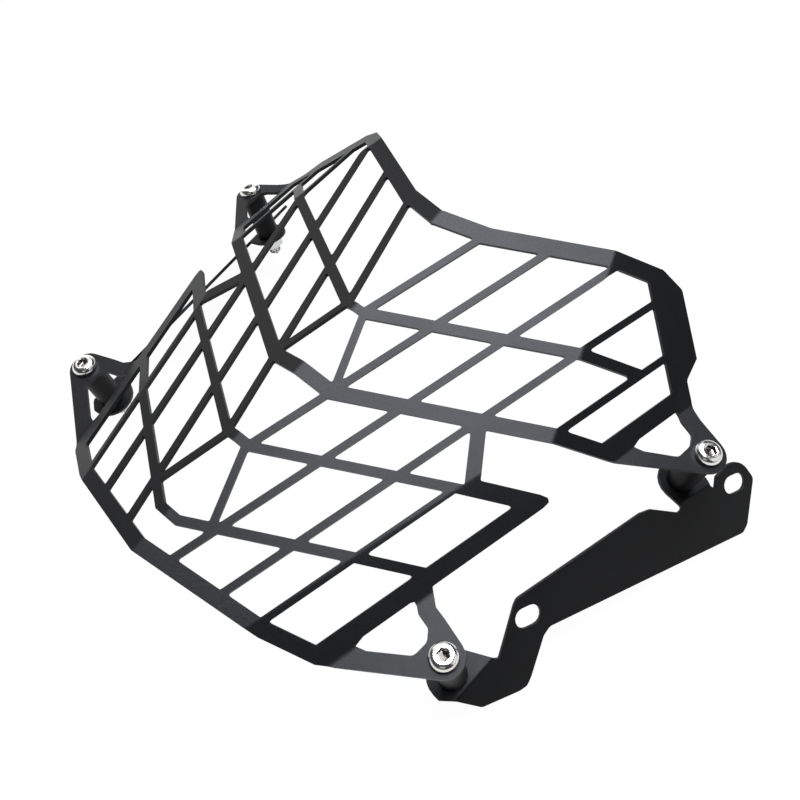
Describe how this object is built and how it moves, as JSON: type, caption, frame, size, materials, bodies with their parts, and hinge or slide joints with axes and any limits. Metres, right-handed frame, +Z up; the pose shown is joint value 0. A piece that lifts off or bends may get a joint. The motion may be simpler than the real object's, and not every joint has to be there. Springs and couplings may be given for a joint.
{
  "type": "motorcycle headlight guard",
  "caption": "Folded sheet-metal grille that shields a motorcycle headlamp, bolted through spacers to angled side brackets with slotted mounting ears.",
  "frame": {"origin": "on the symmetry plane, at the level of the surface the guard lies on, midway along its length", "axes": "+X to the guard's right side as worn, +Y from the lower edge to the upper edge of the grille, +Z up, out of the grille's front face; the guard lies on the brackets' toes and heels"},
  "size_m": [0.2952, 0.2068, 0.0968],
  "materials": {
    "grille_powder_coat": "satin black powder coat with a fine orange-peel grain",
    "bracket_powder_coat": "satin black powder coat",
    "spacer_black": "turned tube, black finish",
    "bolt_bright": "bright polished stainless steel",
    "nut_bright": "bright zinc-plated steel"
  },
  "bodies": {
    "root": {"grille": "grille_powder_coat", "bracket_right": "bracket_powder_coat", "bracket_left": "bracket_powder_coat", "spacer_upper_right": "spacer_black", "bolt_upper_right": "bolt_bright", "nut_upper_right": "nut_bright", "spacer_upper_left": "spacer_black", "bolt_upper_left": "bolt_bright", "nut_upper_left": "nut_bright", "spacer_lower_right": "spacer_black", "bolt_lower_right": "bolt_bright", "nut_lower_right": "nut_bright", "spacer_lower_left": "spacer_black", "bolt_lower_left": "bolt_bright", "nut_lower_left": "nut_bright"}
  },
  "joints": []
}
